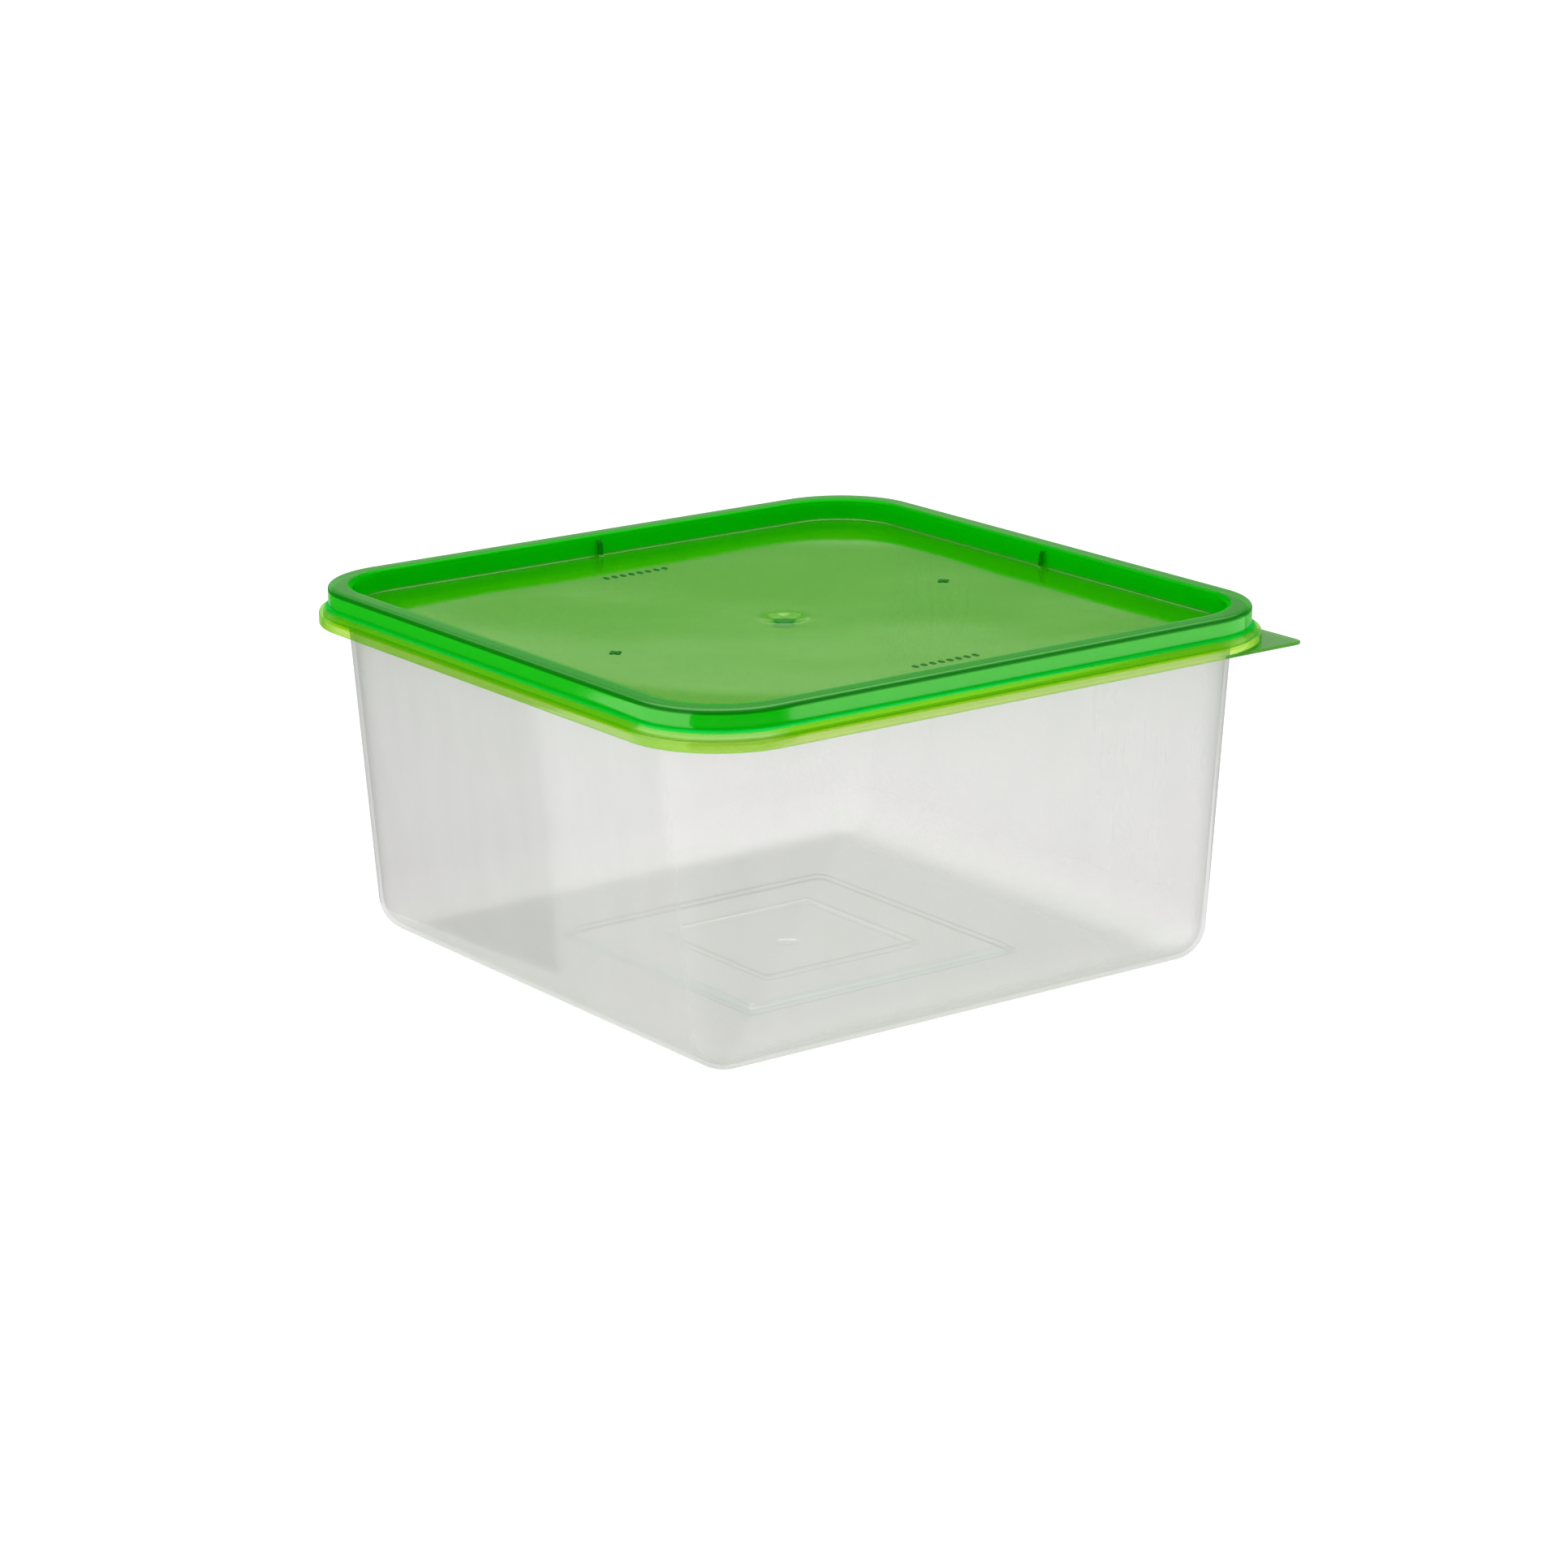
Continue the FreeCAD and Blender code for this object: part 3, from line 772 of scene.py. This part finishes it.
def wall_reflection_border(N, x, y, z):
    """A deeper green border of the panel next to its wall, the same on all four sides: a painted reflection of the wall
    mirrored in the panel. Its cause isn't known for certain: it may be the wall mirrored in the panel."""
    a = ring_side(N, x, y)
    w = N.math("MULTIPLY", N.ramp(a, 0.0732, 0.0752, 0.0, 1.0), N.ramp(a, 0.0868, 0.0874, 1.0, 0.0))
    low = N.ramp(z, (PANEL_Z + 0.5) / 1000, (PANEL_Z + 0.9) / 1000, 1.0, 0.0)
    deep = N.ramp(z, (PANEL_Z - 1.6) / 1000, (PANEL_Z - 1.4) / 1000, 0.0, 1.0)
    return N.math("MULTIPLY", w, N.math("MULTIPLY", low, deep))


def gate_zone(N, x, y, z):
    """The moulding gate in the middle of the panel."""
    q = N.math("ADD", N.math("MULTIPLY", x, x), N.math("MULTIPLY", y, y))
    r = N.math("SQRT", q)
    return N.math("MULTIPLY", N.ramp(r, 0.0026, 0.0036, 1.0, 0.0), N.ramp(z, 0.080, 0.082, 0.0, 1.0))


ONE = (1.0, 1.0, 1.0)
TUB_HAZE = (0.82, 0.785, 0.82)
mat_tub = plastic("pp_milky", TUB_HAZE, (0.972, 0.958, 0.970), 0.76, 0.08, 0.45, 1.45,
                  milk_scale=18.0, edge=0.62, bump=0.005, wear=0.03, graze=0.6, uneven=0.009, deep=0.60,
                  # painted shade: the tub darker towards the tab corner and the one opposite
                  zones=[(falloff_shade_zone, (0.950, 0.941, 0.950), 0.76, ONE, (0.79, 0.76, 0.787)),
                         (lambda N, x, y, z: N.ramp(z, 0.005, 0.014, 1.0, 0.0), (0.988, 0.976, 0.986), 0.82, ONE, (0.87, 0.835, 0.865)),
                         (base_zone, (0.966, 0.964, 0.962), 0.95, ONE, (0.86, 0.83, 0.85)),
                         # painted shade: darker bands along the two square steps of the base
                         (step_shade_band(42.0, 1.3), (0.74, 0.81, 0.78), 0.84, ONE, (0.70, 0.71, 0.70)),
                         (step_shade_band(24.3, 0.8), (0.78, 0.84, 0.81), 0.82, ONE, (0.70, 0.71, 0.70))])
mat_lid = plastic("pp_green", (0.0008, 0.52, 0.0006), (0.74, 0.90, 0.04), 0.68, 0.07, 0.45, 1.75,
                  milk_scale=16.0, edge=0.45, bump=0.006, wear=0.03, flow=(1.0, 1.0, 1.0), gloss=(0.6, 1.0, 0.08), graze=0.8, uneven=0.03,
                  zones=[(below_z(87.1, 87.6), (0.90, 0.95, 0.45), 0.90, ONE, (0.0008, 0.58, 0.0006)),
                         # painted light: the skirt paler round its corners
                         (skirt_corner_light, (0.85, 0.95, 0.34), 0.82, (0.8, 1.0, 0.6), (0.0008, 0.58, 0.0006)),
                         (above_z(89.4, 89.7), (0.03, 0.92, 0.06), 0.36, (0.05, 0.9, 0.35), (0.0008, 0.62, 0.0006)),
                         (above_z(90.5, 90.9), (0.12, 0.92, 0.03), 0.36, (1.0, 1.0, 0.82), (0.0008, 0.76, 0.0006)),
                         # painted shade on the rim's two rolled edges
                         (roof_edge_shade, (0.03, 0.60, 0.03), 0.30, (0.25, 0.5, 0.25), (0.0008, 0.26, 0.0006)),
                         (roof_zone, (0.05, 0.80, 0.02), 0.36, (0.70, 0.85, 0.60), (0.0008, 0.38, 0.0006)),
                         (panel_zone, (0.55, 0.80, 0.01), 0.74, (0.94, 1.0, 0.72), (0.0008, 0.39, 0.0006)),
                         (wall_zone, (0.22, 0.92, 0.05), 0.36, (0.03, 0.5, 0.03), (0.0008, 0.64, 0.0006)),
                         # painted reflection: the wall mirrored in the panel's border
                         (wall_reflection_border, (0.42, 0.80, 0.01), 0.68, (0.55, 0.9, 0.45), (0.0008, 0.40, 0.0006)),
                         (rib_zone, (0.02, 0.50, 0.02), 0.30, (0.1, 0.5, 0.1), (0.0008, 0.22, 0.0006)),
                         (gate_zone, (0.05, 0.50, 0.05), 0.40, (0.5, 1.0, 0.5), (0.0008, 0.22, 0.0006))])
mat_mark = plastic("pp_green_thick", (0.0008, 0.22, 0.0006), (0.14, 0.55, 0.05), 0.42, 0.10, 0.45, 1.45,
                   milk_scale=16.0, edge=0.45, bump=0.006, wear=0.03, flow=(1.0, 1.0, 1.0), gloss=(0.4, 0.7, 0.4), uneven=0.03)
mat_tab = plastic("pp_green_tab", (0.0008, 0.32, 0.0006), (0.44, 0.69, 0.21), 0.70, 0.12, 0.45, 1.45,
                  milk_scale=16.0, edge=0.45, bump=0.008, wear=0.05, flow=(1.0, 1.0, 1.0))

container = build_container()
container.data.materials.append(mat_tub)
lid = build_lid()
lid.data.materials.append(mat_lid)
tab = build_tab()
tab.data.materials.append(mat_tab)
marks = build_marks()
marks.data.materials.append(mat_mark)

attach(container, "container")
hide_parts("container")
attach(lid, "lid")
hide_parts("lid")
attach(marks, "lid")
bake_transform(tab)
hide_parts("pull_tab")

# --------------------------------------------------------------------------
# stage: floor, cards, lights
# --------------------------------------------------------------------------
def plane(name, size, z=0.0, centre=(0, 0)):
    me = bpy.data.meshes.new(name)
    s = size / 2
    me.from_pydata([(centre[0] - s, centre[1] - s, z), (centre[0] + s, centre[1] - s, z),
                    (centre[0] + s, centre[1] + s, z), (centre[0] - s, centre[1] + s, z)], [], [(0, 1, 2, 3)])
    o = bpy.data.objects.new(name, me)
    sc.collection.objects.link(o)
    return o


def emit(name, strength, colour=(1, 1, 1)):
    E = Nodes(name)
    e = E.n("ShaderNodeEmission", i_Strength=strength)
    e.inputs["Color"].default_value = col(*colour)
    o = E.n("ShaderNodeOutputMaterial")
    E.l(e.outputs["Emission"], o.inputs["Surface"])
    return E.mat


def card(name, pts, faces, strength):
    """A studio flag that only reflections see; points in millimetres."""
    me = bpy.data.meshes.new(name)
    me.from_pydata([[c / 1000.0 for c in p] for p in pts], [], faces)
    me.update()
    me.materials.append(emit(name + "_mat", strength))
    o = bpy.data.objects.new(name, me)
    sc.collection.objects.link(o)
    o.visible_camera = False
    o.visible_diffuse = False
    o.visible_transmission = False
    o.visible_shadow = False
    o.visible_volume_scatter = False
    return o


floor = plane("floor", 30.0, -0.00005)
F = Nodes("floor_white")
fd = F.n("ShaderNodeBsdfDiffuse")
fd.inputs["Color"].default_value = col(0.15, 0.15, 0.15)
fe = F.n("ShaderNodeEmission", i_Strength=1.0)
fa = F.n("ShaderNodeAddShader")
fo = F.n("ShaderNodeOutputMaterial")
F.l(fd.outputs["BSDF"], fa.inputs[0])
F.l(fe.outputs["Emission"], fa.inputs[1])
F.l(fa.outputs["Shader"], fo.inputs["Surface"])
floor.data.materials.append(F.mat)

# room walls seen by reflections only: a ring of even grey up to 32 degrees
RW, NW = 3600.0, 64
ring_pts = []
for k in range(NW):
    th = 2 * math.pi * k / NW
    for z in (2.0, 2250.0):
        ring_pts.append((RW * math.cos(th), RW * math.sin(th), z))
card("room_ring", ring_pts, [(2 * k, (2 * k + 2) % (2 * NW), (2 * k + 3) % (2 * NW), 2 * k + 1) for k in range(NW)], 0.28)
# a brighter, graded backdrop opposite the camera side, for the panel's sheen
bk = []
for k in range(25):
    th = math.radians(12.0 + 84.0 * k / 24)
    for z in (2.0, 2250.0):
        bk.append((3400.0 * math.cos(th), 3400.0 * math.sin(th), z))
backdrop = card("backdrop", bk, [(2 * k, 2 * k + 2, 2 * k + 3, 2 * k + 1) for k in range(24)], 1.0)
B = Nodes("backdrop_grade")
btc = B.n("ShaderNodeTexCoord")
bsp = B.n("ShaderNodeSeparateXYZ")
B.l(btc.outputs["Object"], bsp.inputs["Vector"])
be = B.n("ShaderNodeEmission")
B.l(B.math("MULTIPLY", B.ramp(bsp.outputs["Z"], 0.875, 0.925, 0.64, 0.37), B.ramp(bsp.outputs["X"], 0.3, 3.0, 1.15, 0.85)), be.inputs["Strength"])
bo = B.n("ShaderNodeOutputMaterial")
B.l(be.outputs["Emission"], bo.inputs["Surface"])
backdrop.data.materials.clear()
backdrop.data.materials.append(B.mat)
# dark floor beyond the back-left side
card("flag_left", [(-93, 8, -0.03), (-199, 180, -0.03), (-288, 250, -0.03), (-1900, 843, -0.03), (-1700, 3300, -0.03), (60, 3300, -0.03), (-60, 330, -0.03)],
     [(0, 6, 5, 4, 3, 2, 1)], 0.12)
# mid-grey floor beyond the right-hand corner
card("flag_right", [(96, -40, -0.03), (1400, -170, -0.03), (2600, 600, -0.03), (1500, 3000, -0.03), (130, 330, -0.03)],
     [(0, 1, 2, 3, 4)], 0.45)
# grey floor straight behind, seen only at glancing angles
card("flag_back", [(-60, 335, -0.03), (60, 3350, -0.03), (1400, 3050, -0.03), (128, 335, -0.03), (95, 96, -0.03), (-93, 96, -0.03)],
     [(0, 1, 2, 3, 4, 5)], 0.50)
# dark aisle in front of the near corner
card("flag_front", [(-396, -176, -0.03), (-310, -313, -0.03), (-213, -381, -0.03), (-98, -412, -0.03), (19, -403, -0.03), (100, -368, -0.03), (119, -353, -0.03),
                    (1320, -1953, -0.03), (-1100, -2700, -0.03), (-2100, -1300, -0.03)],
     [(0, 9, 8, 7, 6, 5, 4, 3, 2, 1)], 0.02)


def area(name, loc, target, sx, sy, power, colour=(1, 1, 1), shine=True):
    L = bpy.data.lights.new(name, "AREA")
    L.shape = "RECTANGLE"
    L.size, L.size_y = sx, sy
    L.energy = power
    L.color = colour
    o = bpy.data.objects.new(name, L)
    sc.collection.objects.link(o)
    o.location = loc
    o.rotation_mode = "QUATERNION"
    o.rotation_quaternion = (Vector(target) - Vector(loc)).to_track_quat("-Z", "Y")
    o.visible_glossy = shine
    return o


area("top", (0.1, 0.2, 1.6), (0, 0, 0), 2.2, 2.2, 26.0)
area("left", (-1.5, 0.1, 0.7), (0, 0, 0.05), 1.2, 1.0, 9.0, shine=False)
area("right", (1.2, -1.0, 0.7), (0, 0, 0.05), 1.0, 1.0, 7.0, shine=False)

W = bpy.data.worlds.new("studio")
sc.world = W
W.use_nodes = True
bg = W.node_tree.nodes["Background"]
bg.inputs["Color"].default_value = (0.97, 0.985, 1.0, 1)
bg.inputs["Strength"].default_value = 1.0

# --------------------------------------------------------------------------
# camera
# --------------------------------------------------------------------------
az, el, roll = math.radians(-35.91), math.radians(15.60), math.radians(-0.57)
D, FPX = 1196.97, 5655.26
back = np.array([math.sin(az) * math.cos(el), -math.cos(az) * math.cos(el), math.sin(el)])
right = np.array([math.cos(az), math.sin(az), 0.0])
up = np.cross(back, right)
tgt = np.array([0, 0, 45.0]) - 0.53 * right - 1.23 * up
pos = np.array([0, 0, 45.0]) + back * D
fwd = (tgt - pos) / np.linalg.norm(tgt - pos)
r2 = np.cross(fwd, [0, 0, 1.0])
r2 /= np.linalg.norm(r2)
u2 = np.cross(r2, fwd)
cr, sr = math.cos(roll), math.sin(roll)
r3 = cr * r2 + sr * u2
u3 = -sr * r2 + cr * u2
cam = bpy.data.cameras.new("camera")
cam.lens = 36.0 * FPX / 1932.0
cam.sensor_width = 36.0
cam.sensor_fit = "HORIZONTAL"
cam.clip_start, cam.clip_end = 0.01, 100.0
co = bpy.data.objects.new("camera", cam)
sc.collection.objects.link(co)
m = Matrix.Identity(4)
for i in range(3):
    m[i][0], m[i][1], m[i][2], m[i][3] = r3[i], u3[i], -fwd[i], pos[i] / 1000.0
co.matrix_world = m
sc.camera = co
